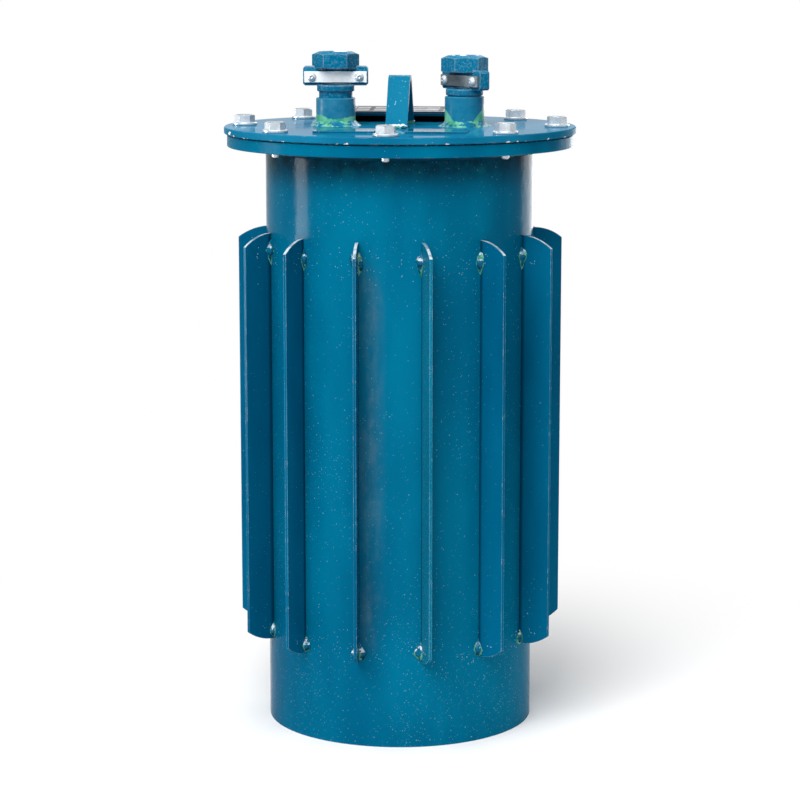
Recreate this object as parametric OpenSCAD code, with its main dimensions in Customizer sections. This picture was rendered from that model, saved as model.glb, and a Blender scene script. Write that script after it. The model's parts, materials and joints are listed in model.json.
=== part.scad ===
// Flameproof dry-type transformer: a finned round tank with a bolted cover and two cable glands.
// Origin on the tank's axis at floor level, +Z up, front towards -Y.

/* [Tank] */
// Outside diameter of the tank tube
tank_d = 273; // [240:1:320]
// Wall of the tank tube
tank_wall = 8; // [5:0.5:12]
// Height of the tube, from the floor to the underside of the flange
tank_h = 593; // [540:1:700]
// Thickness of the bottom plate
base_t = 10; // [6:1:16]
// Height of the bottom plate above the floor
base_recess = 14; // [6:1:30]

/* [Cover joint] */
// How far the flange stands out from the tank tube
flange_out = 39; // [34:0.5:60]
// Thickness of the tank flange
flange_t = 12; // [8:1:20]
// How far the cover stands out beyond the flange
cover_lip = 3; // [0:0.5:6]
// Thickness of the cover
cover_t = 8; // [6:0.5:16]
// Height of the machined joint face under the cover
joint_face_h = 1; // [0.5:0.1:2]
// Width of the open step around the joint face, measured in from the flange's edge
joint_step = 5; // [2:0.5:6]
// Distance of the bolt circle in from the flange's edge
bolt_inset = 16.5; // [13:0.5:18]
// Number of cover bolts
bolt_count = 8; // [6:1:12]
// Diameter of the bolt holes
bolt_hole_d = 13.5; // [9:0.5:14]
// Leg of the fillet weld between the flange and the tank tube
flange_weld_leg = 6; // [3:0.5:10]
// Width of the bevel that breaks the machined edges
edge_break = 0.8; // [0.3:0.1:1.5]

/* [Fins] */
// Thickness of a fin
fin_t = 3; // [3:0.5:6]
// How far a fin stands out from the tank
fin_out = 35; // [20:1:45]
// Height of the fins' lower ends above the floor
fin_bottom = 88; // [60:1:120]
// Length of a fin along the tank
fin_len = 420; // [300:1:440]
// How much the rounded ends fall away at a fin's outer edge
fin_end_drop = 12; // [4:1:16]

/* [Cable glands] */
// Distance of each gland from the cover's centre
gland_x = 65.5; // [60:0.5:75]
// Outside diameter of a gland body
gland_d = 40; // [38:0.5:44]
// Height of the left gland body above the cover
gland_h_left = 28; // [26:0.5:40]
// Height of the right gland body above the cover
gland_h_right = 30; // [26:0.5:40]
// Leg of the fillet weld around a gland body
gland_weld_leg = 5.5; // [3:0.5:8]
// Diameter of the threaded neck under a nut
neck_d = 34; // [31:0.5:36]
// Length of the threaded neck
neck_len = 19; // [14:0.5:24]
// Length of neck that shows above the left gland body
neck_gap_left = 6.5; // [1:0.5:10]
// Length of neck that shows above the right gland body
neck_gap_right = 1; // [1:0.5:10]
// Turn of the left nut about its axis
nut_turn_left = 5; // [-180:1:180]
// Turn of the right nut about its axis
nut_turn_right = -51; // [-180:1:180]
// Diameter of the cable passage
cable_d = 24; // [16:1:26]
// Diameter of the round collar at a nut's foot
collar_d = 38; // [36:0.5:42]
// Height of the collar
collar_h = 6.7; // [4:0.1:10]
// Height of the clamp window between collar and hexagon
window_h = 15.8; // [13:0.2:22]
// Size of the hexagon across its flats
hex_af = 41.5; // [40:0.5:48]
// Height of the hexagon
hex_h = 17.5; // [12:0.5:24]
// Height of the chamfer at the hexagon's upper corners
hex_chamfer = 3; // [0.5:0.1:4]
// Width of the bell mouth at the cable passage
mouth = 3; // [1:0.5:5]

/* [Cable clamp] */
// Length of a clamp strap
strap_len = 63; // [58:1:72]
// Width of a clamp strap
strap_w = 11; // [9:0.5:12]
// Thickness of a clamp strap
strap_t = 3; // [2:0.5:4]
// Distance between a strap's two screw holes
strap_hole_span = 48; // [44:1:52]
// Diameter of a strap's screw holes
strap_hole_d = 5; // [4:0.5:6]
// Distance of the ears' front face from the gland's axis
ear_front = 4.5; // [0:0.5:6]
// Depth of an ear behind its front face
ear_depth = 11.5; // [8:0.5:16]
// Height of an ear
ear_h = 19.5; // [16:0.5:24]
// Height of the ears' middle above the strap's middle
ear_rise = 1; // [0:0.5:3]
// How far the ears stand out beyond a strap's ends
ear_margin = 1.5; // [0.5:0.5:3]
// Width of the bevel at an ear's outer corners
ear_corner = 2; // [0.5:0.5:4]
// Wall of the half-round saddle behind the clamp window
saddle_wall = 4; // [3:0.5:6]

/* [Gland inserts] */
// Thickness of the blanking disc
disc_t = 3; // [2:0.5:4]
// Clearance around the disc and the sealing ring
insert_clear = 0.5; // [0.2:0.1:1]

/* [Lifting handle] */
// Width of the handle's flat bar
handle_w = 22; // [16:1:32]
// Thickness of the handle's flat bar
handle_t = 5; // [4:0.5:8]
// Height of the handle above the cover
handle_h = 51; // [44:1:70]
// Outside radius of the handle's bend
handle_bend = 17; // [12:0.5:24]
// Distance of each foot's outer edge from the cover's centre
handle_foot = 44; // [36:1:48]

/* [Plates] */
// Width of the nameplate bracket
bracket_w = 125; // [100:1:140]
// Depth of the nameplate bracket
bracket_depth = 66; // [50:1:70]
// Height of the bracket's top above the cover, at its front
bracket_h = 9.5; // [7:0.5:20]
// Rise of the bracket's top towards its back
bracket_rise = 3; // [0:0.5:6]
// Sheet thickness of the bracket
bracket_t = 3; // [2:0.5:4]
// Distance of the bracket's front edge from the cover's centre
bracket_y = 53; // [50:1:60]
// Margin of bracket around the nameplate
nameplate_margin = 5; // [2:0.5:10]
// Thickness of the nameplate
nameplate_t = 1; // [0.5:0.1:2]
// Width of a label plate
label_w = 60; // [40:1:64]
// Depth of a label plate
label_depth = 45; // [30:1:46]
// Thickness of a label plate
label_t = 2; // [1:0.5:3]
// Distance of a label plate's inner edge from the middle
label_x = 15; // [12:1:18]
// Distance of the label plates' front edge from the cover's centre
label_y = 120; // [116:1:124]

/* [Hidden] */
NODES = ["tank_shell", "base_plate", "tank_flange", "cover_plate", "flange_weld",
    "fin_01", "fin_02", "fin_03", "fin_04", "fin_05", "fin_06", "fin_07",
    "fin_08", "fin_09", "fin_10", "fin_11", "fin_12", "fin_13",
    "gland_body_left", "gland_body_right", "gland_weld_left", "gland_weld_right",
    "sealing_ring_left", "sealing_ring_right", "blanking_disc_left", "blanking_disc_right",
    "gland_nut_left", "gland_nut_right", "clamp_strap_left", "clamp_strap_right",
    "lifting_handle", "nameplate_bracket", "nameplate", "label_plate_left", "label_plate_right"];

$fn = 96;
// How far a cut runs past the faces that it opens
over = 1;
// How deep two shapes of one casting sink into each other
eps = 0.01;
// How far the round end faces of a nut's hexagon lie inside its flats
hex_edge = 4;

tank_r = tank_d / 2;
tank_in_r = tank_r - tank_wall;
cover_z = tank_h + flange_t;
top_z = cover_z + cover_t;
flange_r = tank_r + flange_out;
cover_r = flange_r + cover_lip;
bolt_r = flange_r - bolt_inset;
joint_face_r = flange_r - joint_step;

// As-welded turn of each fin from its even place, and its lean about the weld, in degrees
fin_shift = [0.6, -0.6, -0.6, 5, 0, 0, 0, 0, 0, -2, 1.5, 1.8, 1];
fin_lean = [3, 2.5, -9.5, 20, 0, 0, 0, 0, 0, 6, 27.5, 16.5, 14];
fin_count = len(fin_shift);
fin_first = search(["fin_01"], NODES)[0];
fin_pitch = 360 / fin_count;
fin_end_r = (fin_out ^ 2 + fin_end_drop ^ 2) / (2 * fin_end_drop);

nut_z_left = top_z + gland_h_left + neck_gap_left;
nut_z_right = top_z + gland_h_right + neck_gap_right;
cable_r = cable_d / 2;
insert_d = neck_d - 2 * insert_clear;
strap_z = collar_h + window_h / 2;
ear_in = collar_d / 2 - saddle_wall / 2;
ear_out = strap_len / 2 + ear_margin;
ear_z = strap_z - ear_h / 2 + ear_rise;
hex_z = collar_h + window_h;

paint = [0.0, 0.44, 0.60];
zinc = [0.85, 0.87, 0.88];
rubber = [0.08, 0.08, 0.08];

// Copies its children to every bolt place
module at_bolts() {
    for (i = [0 : bolt_count - 1])
        rotate([0, 0, i * 360 / bolt_count - 90]) translate([bolt_r, 0, 0]) children();
}

// Copies its children to both gland places
module at_glands() {
    for (side = [-1, 1]) translate([side * gland_x, 0, 0]) children();
}

module tank_shell() {
    color(paint) difference() {
        cylinder(d = tank_d, h = tank_h);
        translate([0, 0, -over]) cylinder(r = tank_in_r, h = tank_h + 2 * over);
    }
}

module base_plate() {
    color(paint) translate([0, 0, base_recess]) cylinder(r = tank_in_r, h = base_t);
}

// Ring or disc turned to the given radii and height, with its outer edges broken
module turned(r_in, r_out, h) {
    rotate_extrude() polygon([[r_in, 0], [r_out - edge_break, 0], [r_out, edge_break],
        [r_out, h - edge_break], [r_out - edge_break, h], [r_in, h]]);
}

// Fillet weld around the outside of a tube of radius r, standing on the plane below it
module fillet(r, leg) {
    rotate_extrude() translate([r, 0]) polygon([[0, 0], [leg, 0], [0, leg]]);
}

module tank_flange() {
    color(paint) translate([0, 0, tank_h]) difference() {
        turned(tank_in_r, flange_r, flange_t);
        translate([0, 0, -over]) at_bolts() cylinder(d = bolt_hole_d, h = flange_t + 2 * over);
    }
}

module cover_plate() {
    color(paint) translate([0, 0, cover_z]) difference() {
        union() {
            cylinder(r = joint_face_r, h = cover_t / 2);
            translate([0, 0, joint_face_h]) turned(0, cover_r, cover_t - joint_face_h);
        }
        translate([0, 0, -over]) {
            at_bolts() cylinder(d = bolt_hole_d, h = cover_t + 2 * over);
            at_glands() cylinder(r = cable_r, h = cover_t + 2 * over);
        }
    }
}

module flange_weld() {
    color(paint) translate([0, 0, tank_h]) mirror([0, 0, 1]) fillet(tank_r, flange_weld_leg);
}

// Outline of a fin, with its weld edge on the Y axis and both ends rounded away
module fin_outline() {
    intersection() {
        translate([-fin_t, 0]) square([fin_out + fin_t, fin_len]);
        union() {
            translate([0, fin_end_r]) circle(r = fin_end_r, $fn = 192);
            translate([0, fin_len - fin_end_r]) circle(r = fin_end_r, $fn = 192);
            translate([-fin_end_r, fin_end_r]) square([2 * fin_end_r, fin_len - 2 * fin_end_r]);
        }
    }
}

// One fin, counted from the front towards +X and trimmed to the tank's round
module fin(i) {
    color(paint) difference() {
        rotate([0, 0, fin_pitch * (i - 0.5) + fin_shift[i - 1] - 90])
            translate([tank_r, 0, fin_bottom]) rotate([90, 0, fin_lean[i - 1]])
                linear_extrude(height = fin_t, center = true) fin_outline();
        translate([0, 0, fin_bottom - over]) cylinder(r = tank_r, h = fin_len + 2 * over);
    }
}

module gland_body(side, h) {
    color(paint) translate([side * gland_x, 0, top_z]) turned(neck_d / 2, gland_d / 2, h);
}

module gland_weld(side) {
    color(paint) translate([side * gland_x, 0, top_z]) fillet(gland_d / 2, gland_weld_leg);
}

// The ring fills a gland body up to the disc, which lies under the nut's neck
module sealing_ring(side, neck_z) {
    color(rubber) translate([side * gland_x, 0, top_z]) cylinder(d = insert_d, h = neck_z - disc_t - top_z);
}

module blanking_disc(side, neck_z) {
    color(zinc) translate([side * gland_x, 0, neck_z - disc_t]) cylinder(d = insert_d, h = disc_t);
}

// Hexagon turned off to a cone at both ends, which leaves a round face inside its flats
module chamfered_hex() {
    corner_r = hex_af / 2 / cos(30);
    face_r = hex_af / 2 - hex_edge;
    past_r = 2 * corner_r - face_r;
    intersection() {
        cylinder(r = corner_r, h = hex_h, $fn = 6);
        rotate_extrude() polygon([[0, 0], [face_r, 0], [past_r, hex_chamfer],
            [past_r, hex_h - 2 * hex_chamfer], [face_r, hex_h], [0, hex_h]]);
    }
}

// Half-round wall that carries the hexagon behind the clamp window
module saddle() {
    saddle_r = collar_d / 2 - edge_break;
    difference() {
        translate([0, 0, collar_h - eps]) cylinder(r = saddle_r, h = window_h + 2 * eps);
        translate([0, 0, collar_h]) cylinder(r = saddle_r - saddle_wall, h = window_h);
        translate([-collar_d / 2, -collar_d - ear_front, collar_h]) cube([collar_d, collar_d, window_h + over]);
    }
}

// Ear that carries one end of a clamp strap, with its outer corners cut off
module ear() {
    w = ear_out - ear_in;
    translate([ear_in, ear_depth - ear_front, ear_z]) rotate([90, 0, 0]) linear_extrude(ear_depth)
        polygon([[0, 0], [w - ear_corner, 0], [w, ear_corner], [w, ear_h - ear_corner],
            [w - ear_corner, ear_h], [0, ear_h]]);
}

// The nut is one casting: neck, collar, half-round saddle with two ears, and hexagon
module gland_nut(side, nut_z, turn) {
    color(paint) translate([side * gland_x, 0, nut_z]) rotate([0, 0, turn]) difference() {
        union() {
            translate([0, 0, -neck_len]) cylinder(d = neck_d, h = neck_len + eps);
            turned(0, collar_d / 2, collar_h);
            saddle();
            for (end = [0, 1]) mirror([end, 0, 0]) ear();
            translate([0, 0, hex_z]) chamfered_hex();
        }
        translate([0, 0, -neck_len - over]) cylinder(r = cable_r, h = neck_len + hex_z + hex_h + 2 * over);
        translate([0, 0, hex_z + hex_h - mouth])
            cylinder(r1 = cable_r, r2 = cable_r + mouth + eps, h = mouth + eps);
        for (end = [-1, 1]) translate([end * strap_hole_span / 2, -ear_front - over, strap_z])
            rotate([-90, 0, 0]) cylinder(d = strap_hole_d, h = ear_depth);
    }
}

module clamp_strap(side, nut_z, turn) {
    color(zinc) translate([side * gland_x, 0, nut_z + strap_z]) rotate([0, 0, turn]) difference() {
        translate([-strap_len / 2, -ear_front - strap_t, -strap_w / 2]) cube([strap_len, strap_t, strap_w]);
        for (end = [-1, 1]) translate([end * strap_hole_span / 2, -ear_front - strap_t - over, 0])
            rotate([-90, 0, 0]) cylinder(d = strap_hole_d, h = strap_t + 2 * over);
    }
}

// Flat bar bent over a round top, with a straight leg tangent to the bend at each side
module lifting_handle() {
    inner_r = handle_bend - handle_t;
    bend_z = handle_h - handle_bend;
    reach = norm([handle_foot, bend_z]);
    lean = acos(handle_bend / reach) - atan2(bend_z, handle_foot);
    leg = handle_h / cos(lean);
    color(paint) translate([-handle_w / 2, 0, top_z]) rotate([90, 0, 90]) intersection() {
        translate([0, bend_z, 0]) {
            rotate([0, 0, lean]) rotate_extrude(angle = 180 - 2 * lean)
                translate([inner_r, 0]) square([handle_t, handle_w]);
            for (end = [0, 1]) mirror([end, 0, 0]) rotate([0, 0, lean])
                translate([inner_r, -leg, 0]) cube([handle_t, leg, handle_w]);
        }
        translate([-handle_foot, 0, 0]) cube([2 * handle_foot, handle_h, handle_w]);
    }
}

// Folded sheet: a top that rises to the back, and a leg down to the cover at each side
module nameplate_bracket() {
    back_h = bracket_h + bracket_rise;
    inner_depth = bracket_depth - bracket_t;
    inner_h = bracket_h - bracket_t + bracket_rise * inner_depth / bracket_depth;
    color(paint) translate([-bracket_w / 2, bracket_y, top_z]) rotate([90, 0, 90]) {
        // top and back are one bent sheet
        linear_extrude(bracket_w) polygon([[0, bracket_h - bracket_t], [inner_depth, inner_h], [inner_depth, 0],
            [bracket_depth, 0], [bracket_depth, back_h], [0, bracket_h]]);
        for (place = [0, bracket_w - bracket_t]) translate([0, 0, place]) linear_extrude(bracket_t)
            polygon([[0, 0], [bracket_depth, 0], [bracket_depth, back_h], [0, bracket_h]]);
    }
}

module nameplate() {
    slope = atan(bracket_rise / bracket_depth);
    color(zinc) translate([0, bracket_y, top_z + bracket_h]) rotate([slope, 0, 0])
        translate([nameplate_margin - bracket_w / 2, nameplate_margin, 0])
            cube([bracket_w - 2 * nameplate_margin, bracket_depth - 2 * nameplate_margin, nameplate_t]);
}

module label_plate(side) {
    color(paint) translate([side * (label_x + label_w / 2), label_depth / 2 - label_y, top_z + label_t / 2])
        cube([label_w, label_depth, label_t], center = true);
}

tank_shell();
base_plate();
tank_flange();
cover_plate();
flange_weld();
for (i = [1 : fin_count]) fin(i);
gland_body(-1, gland_h_left);  // gland_body_left
gland_body(1, gland_h_right);  // gland_body_right
gland_weld(-1);  // gland_weld_left
gland_weld(1);  // gland_weld_right
sealing_ring(-1, nut_z_left - neck_len);  // sealing_ring_left
sealing_ring(1, nut_z_right - neck_len);  // sealing_ring_right
blanking_disc(-1, nut_z_left - neck_len);  // blanking_disc_left
blanking_disc(1, nut_z_right - neck_len);  // blanking_disc_right
gland_nut(-1, nut_z_left, nut_turn_left);  // gland_nut_left
gland_nut(1, nut_z_right, nut_turn_right);  // gland_nut_right
clamp_strap(-1, nut_z_left, nut_turn_left);  // clamp_strap_left
clamp_strap(1, nut_z_right, nut_turn_right);  // clamp_strap_right
lifting_handle();
nameplate_bracket();
nameplate();
label_plate(-1);  // label_plate_left
label_plate(1);  // label_plate_right
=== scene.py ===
import json
import math
import random

import bmesh
import bpy
from mathutils import Matrix, Vector, noise


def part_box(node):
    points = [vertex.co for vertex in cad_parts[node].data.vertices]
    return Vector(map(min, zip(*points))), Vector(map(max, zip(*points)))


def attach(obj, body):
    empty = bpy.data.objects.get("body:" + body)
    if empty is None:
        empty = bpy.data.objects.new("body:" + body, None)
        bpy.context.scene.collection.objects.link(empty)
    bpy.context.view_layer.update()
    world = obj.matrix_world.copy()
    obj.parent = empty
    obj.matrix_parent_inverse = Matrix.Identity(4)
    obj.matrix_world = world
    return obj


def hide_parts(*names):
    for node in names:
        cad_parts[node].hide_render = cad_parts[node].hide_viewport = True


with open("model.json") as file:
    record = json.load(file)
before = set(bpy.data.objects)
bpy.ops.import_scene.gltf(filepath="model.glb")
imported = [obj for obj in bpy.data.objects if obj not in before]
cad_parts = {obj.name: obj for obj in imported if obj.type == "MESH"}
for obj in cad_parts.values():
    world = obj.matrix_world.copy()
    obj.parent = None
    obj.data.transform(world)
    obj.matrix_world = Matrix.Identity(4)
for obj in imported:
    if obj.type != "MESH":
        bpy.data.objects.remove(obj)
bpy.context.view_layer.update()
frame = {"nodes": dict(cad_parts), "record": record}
nodes = frame["nodes"]
mounts = {mount["name"]: mount for mount in frame["record"]["mounts"]}
mm = 0.001

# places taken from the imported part
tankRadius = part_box("tank_shell")[1].x
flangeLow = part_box("tank_flange")[0]
coverLow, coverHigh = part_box("cover_plate")
topZ = coverHigh.z
glandLow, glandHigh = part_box("gland_body_right")
glandX = (glandLow.x + glandHigh.x) / 2
glandRadius = (glandHigh.x - glandLow.x) / 2
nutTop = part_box("gland_nut_right")[1].z
finNames = sorted(name for name in nodes if name.startswith("fin_"))
finLow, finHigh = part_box(finNames[0])
rootDepth = 0.6 * mm  # a fin's points this near the tank's wall are its root
tipDepth = 2.5 * mm  # and those this near its greatest reach are its tip


def finRoot(nodeName):
    # where a fin meets the tank: its angle, how far its corners lie either way and where it points
    points = [vert.co for vert in nodes[nodeName].data.vertices]
    rootPoints = [point for point in points if point.xy.length < tankRadius + rootDepth]
    reach = max(point.xy.length for point in points)
    tipPoints = [point for point in points if point.xy.length > reach - tipDepth]
    rootMiddle = sum(rootPoints, Vector()) / len(rootPoints)
    tipMiddle = sum(tipPoints, Vector()) / len(tipPoints)
    centre = math.atan2(rootMiddle.y, rootMiddle.x)
    offsets = [math.remainder(math.atan2(point.y, point.x) - centre, math.tau) for point in rootPoints]
    out = (tipMiddle - rootMiddle).xy.normalized()
    return centre, min(offsets), max(offsets), out


finAngles = [finRoot(name)[0] for name in finNames]
print("frame loaded:", len(nodes), "nodes")


# node tree helpers

def seen(red, green, blue):
    # a colour as the eye reads it, 0 to 255, as the linear value that a shader takes
    steps = [channel / 255 for channel in (red, green, blue)]
    linear = [step / 12.92 if step <= 0.04045 else ((step + 0.055) / 1.055) ** 2.4 for step in steps]
    return (*linear, 1.0)


def plug(tree, node, inputs):
    # links each input to a socket or sets it to a value
    for key, value in inputs.items():
        if isinstance(value, bpy.types.NodeSocket):
            tree.links.new(value, node.inputs[key])
        else:
            node.inputs[key].default_value = value


def wire(tree, kind, inputs=None, **settings):
    node = tree.nodes.new(kind)
    for key, value in settings.items():
        setattr(node, key, value)
    plug(tree, node, inputs or {})
    return node


def calc(tree, operation, first, second=0.0, clamp=False):
    inputs = {0: first, 1: second}
    return wire(tree, "ShaderNodeMath", inputs, operation=operation, use_clamp=clamp).outputs[0]


def times(tree, first, *others):
    for other in others:
        first = calc(tree, "MULTIPLY", first, other)
    return first


def fade(tree, value, low, high, toLow=0.0, toHigh=1.0):
    inputs = {"Value": value, "From Min": low, "From Max": high, "To Min": toLow, "To Max": toHigh}
    return wire(tree, "ShaderNodeMapRange", inputs, interpolation_type="SMOOTHSTEP").outputs["Result"]


def spread(tree, value, ends):
    return fade(tree, value, 0.0, 1.0, *ends)


def blend(tree, factor, first, second):
    inputs = {0: factor, 6: first, 7: second}
    return wire(tree, "ShaderNodeMix", inputs, data_type="RGBA").outputs[2]


def fractal(tree, vector, scale, detail=3.0, rough=0.5):
    inputs = {"Vector": vector, "Scale": scale, "Detail": detail, "Roughness": rough}
    return wire(tree, "ShaderNodeTexNoise", inputs).outputs["Fac"]


def clouds(tree, vector, grain, limits):
    # noise with grain as its scale, detail and roughness, faded between the limits
    return fade(tree, fractal(tree, vector, *grain), *limits)


def vectors(tree, operation, *values):
    node = wire(tree, "ShaderNodeVectorMath", dict(enumerate(values)), operation=operation)
    return node.outputs["Value" if operation in ("LENGTH", "DOT_PRODUCT") else "Vector"]


def scaled(tree, vector, factors):
    return vectors(tree, "MULTIPLY", vector, factors)


def axes(tree, vector):
    return wire(tree, "ShaderNodeSeparateXYZ", {0: vector}).outputs


def upwards(tree, output):
    # how far a face looks up, from -1 to 1, by the named normal
    return axes(tree, wire(tree, "ShaderNodeNewGeometry").outputs[output])["Z"]


def upperFaces(tree, limits, amount=1.0):
    return fade(tree, upwards(tree, "True Normal"), *limits, 0.0, amount)


def attribute(tree, name):
    return wire(tree, "ShaderNodeAttribute", attribute_name=name).outputs["Fac"]


def newGroup(name, inputs, outputs):
    # sockets are plain values, apart from the place, which every group reads, and the normal
    group = bpy.data.node_groups.new(name, "ShaderNodeTree")
    for way, labels in (("INPUT", ["Vector", *inputs]), ("OUTPUT", outputs)):
        for label in labels:
            kind = "NodeSocketVector" if label in ("Vector", "Normal") else "NodeSocketFloat"
            group.interface.new_socket(label, in_out=way, socket_type=kind)
    return group, wire(group, "NodeGroupInput").outputs, wire(group, "NodeGroupOutput")


def useGroup(tree, group, coords, **values):
    return wire(tree, "ShaderNodeGroup", {"Vector": coords, **values}, node_tree=group).outputs


# shared effects; a pair of brackets holds the grain and the limits that clouds takes

toneLook = {
    "stretch": (1.0, 1.0, 0.35),  # the patches are drawn out upwards
    "patch": ((11.0, 3.0, 0.55), (0.3, 0.7)),
    "mottle": ((95.0, 3.0, 0.6), (0.25, 0.75)),
}


def makePaintTone():
    # broad patches and fine mottling of brushed and sprayed enamel
    look = toneLook
    tree, given, out = newGroup("paintTone", [], ["Patch", "Mottle"])
    patch = clouds(tree, scaled(tree, given["Vector"], look["stretch"]), *look["patch"])
    plug(tree, out, {"Patch": patch, "Mottle": clouds(tree, given["Vector"], *look["mottle"])})
    return tree


grainLook = {
    "bendScale": 160.0,  # noise that bends the cells, so that no grain is round
    "bend": (0.004, 0.004, 0.004),
    "crowds": ((7.0, 2.0), (0.3, 0.7, 0.15, 1.5)),
    "sizes": (0.45, 1.0),  # smallest and largest share of the given size
    "strengths": (0.25, 1.0),
    "softness": (0.0, 0.6),
}


def makeDustSpecks():
    # single grains of overspray, each its own size, thinner where the wide noise is low
    look = grainLook
    tree, given, out = newGroup("dustSpecks", ["Scale", "Density", "Size"], ["Mask"])
    inputs = {"Vector": given["Vector"], "Scale": look["bendScale"], "Detail": 1.0}
    warp = wire(tree, "ShaderNodeTexNoise", inputs).outputs["Color"]
    bent = vectors(tree, "ADD", given["Vector"], scaled(tree, warp, look["bend"]))
    cells = wire(tree, "ShaderNodeTexVoronoi", {"Vector": bent, "Scale": given["Scale"]}).outputs
    draw = wire(tree, "ShaderNodeSeparateColor", {0: cells["Color"]}).outputs
    crowd = clouds(tree, given["Vector"], *look["crowds"])
    kept = calc(tree, "LESS_THAN", draw["Red"], times(tree, given["Density"], crowd))
    reach = times(tree, given["Size"], spread(tree, draw["Green"], look["sizes"]))
    dot = calc(tree, "SUBTRACT", 1.0, calc(tree, "DIVIDE", cells["Distance"], reach), clamp=True)
    bold = spread(tree, draw["Blue"], look["strengths"])
    plug(tree, out, {"Mask": times(tree, fade(tree, dot, *look["softness"]), kept, bold)})
    return tree


wearAndSheenLook = {
    "samples": 4,
    "turn": (0.985, 0.8),  # rounded against flat normal, where the wear starts and is full
    "chipGrain": (4.0, 0.65),  # detail and roughness of the chips' noise
    "chipLimits": (0.56, 0.62),
    "uneven": ((16.0, 2.0), (0.35, 0.65, 0.35, 1.0)),
}


def makeEdgeWearAndSheen():
    # paint rubbed thin on outside edges, made pale there partly as a painted highlight along edges that
    # catch the light; Normal rounds those edges off
    look = wearAndSheenLook
    tree, given, out = newGroup("edgeWearAndSheen", ["Radius", "Amount", "Scale"], ["RubAndSheen", "Chip", "Normal"])
    bevel = wire(tree, "ShaderNodeBevel", {"Radius": given["Radius"]}, samples=look["samples"])
    rounded = bevel.outputs[0]
    flat = wire(tree, "ShaderNodeNewGeometry").outputs["True Normal"]
    edge = fade(tree, vectors(tree, "DOT_PRODUCT", rounded, flat), *look["turn"])
    chips = clouds(tree, given["Vector"], (given["Scale"], *look["chipGrain"]), look["chipLimits"])
    uneven = clouds(tree, given["Vector"], *look["uneven"])
    worn = times(tree, edge, given["Amount"])
    plug(tree, out, {"RubAndSheen": times(tree, worn, uneven), "Chip": times(tree, worn, chips),
                     "Normal": rounded})
    return tree


bareLook = {
    "ragged": (75.0, 4.0, 0.6),
    "edge": (-0.3 * mm, 0.5 * mm),
    "tint": ((55.0, 2.0), (0.3, 0.7)),
}


def makePrimerShow():
    # green primer left bare below a ragged line
    look = bareLook
    tree, given, out = newGroup("primerShow", ["Height", "Limit", "Rag"], ["Mask", "Tint"])
    ragged = calc(tree, "SUBTRACT", fractal(tree, given["Vector"], *look["ragged"]), 0.5)
    line = calc(tree, "ADD", given["Limit"], times(tree, ragged, given["Rag"]))
    mask = fade(tree, calc(tree, "SUBTRACT", line, given["Height"]), *look["edge"])
    plug(tree, out, {"Mask": mask, "Tint": clouds(tree, given["Vector"], *look["tint"])})
    return tree


scuffLook = {
    "slant": (0.5, 0.35, 0.2),
    "stretch": (420.0, 420.0, 38.0),
    "lines": (1.0, 2.0, 0.5),
    "places": (38.0, 2.0),
    "cut": 0.86,  # noise above this is a scratch, and above less where they crowd
    "edge": (0.0, 0.04),
}


def makeScuffs():
    # short slanting scratches
    look = scuffLook
    tree, given, out = newGroup("scuffs", ["Density"], ["Mask"])
    inputs = {"Vector": given["Vector"], "Rotation": look["slant"], "Scale": look["stretch"]}
    slanted = wire(tree, "ShaderNodeMapping", inputs).outputs[0]
    crowd = times(tree, given["Density"], fractal(tree, given["Vector"], *look["places"]))
    cut = calc(tree, "SUBTRACT", look["cut"], crowd)
    over = calc(tree, "SUBTRACT", fractal(tree, slanted, *look["lines"]), cut)
    plug(tree, out, {"Mask": fade(tree, over, *look["edge"])})
    return tree


paintTone = makePaintTone()
dustSpecks = makeDustSpecks()
edgeWearAndSheen = makeEdgeWearAndSheen()
primerShow = makePrimerShow()
scuffs = makeScuffs()
print("shared effects built")


# layers of the enamel

hazeLook = {
    "colour": seen(104, 130, 140),
    "towards": [-106, 35, 118, 172],  # the fins nearest these directions have it, in degrees
    "aside": 13 * mm,  # middle of the band, from the fin's own middle
    "core": 3 * mm,
    "reach": 18 * mm,
    "ends": 50 * mm,
    "stretch": (1.0, 1.0, 0.3),
    "streaks": ((40.0, 5.0, 0.75), (0.35, 0.65, 0.1, 1.0)),
    "mottle": (0.6, 1.0),
}


def hazeMask(tree, coords, mottle):
    # grainy bands along some fins, where the spray came in flat and dried grey
    look = hazeLook
    parts = axes(tree, coords)
    angle = calc(tree, "ARCTAN2", parts["Y"], parts["X"])
    nearest = math.pi
    for degrees in look["towards"]:
        towards = math.radians(degrees)
        finAngle = min(finAngles, key=lambda fin: abs(math.remainder(fin - towards, math.tau)))
        turn = calc(tree, "SUBTRACT", angle, finAngle + look["aside"] / tankRadius)
        turn = wire(tree, "ShaderNodeMath", {0: turn, 1: math.pi, 2: -math.pi}, operation="WRAP").outputs[0]
        nearest = calc(tree, "MINIMUM", calc(tree, "ABSOLUTE", turn), nearest)
    band = fade(tree, times(tree, nearest, tankRadius), look["reach"], look["core"])
    foot = fade(tree, parts["Z"], finLow.z, finLow.z + look["ends"])
    head = fade(tree, parts["Z"], finHigh.z, finHigh.z - look["ends"])
    streaks = clouds(tree, scaled(tree, coords, look["stretch"]), *look["streaks"])
    return times(tree, streaks, band, foot, head, spread(tree, mottle, look["mottle"]))


flangeShadeLook = {
    "dark": seen(8, 22, 24), "green": seen(12, 62, 38),
    "reach": 45 * mm,  # how far down from the flange it comes
    "mottle": (0.8, 1.0),
    "moss": ((42.0, 3.0, 0.6), (0.55, 0.66)),
}


def flangeShadeLayer(tree, coords, mottle, amount):
    # painted shade under the flange, fading downwards, with mossy green patches here and there
    look = flangeShadeLook
    band = fade(tree, axes(tree, coords)["Z"], flangeLow.z - look["reach"], flangeLow.z, 0.0, amount)
    shadeAndMoss = blend(tree, clouds(tree, coords, *look["moss"]), look["dark"], look["green"])
    return times(tree, band, spread(tree, mottle, look["mottle"])), shadeAndMoss


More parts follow.
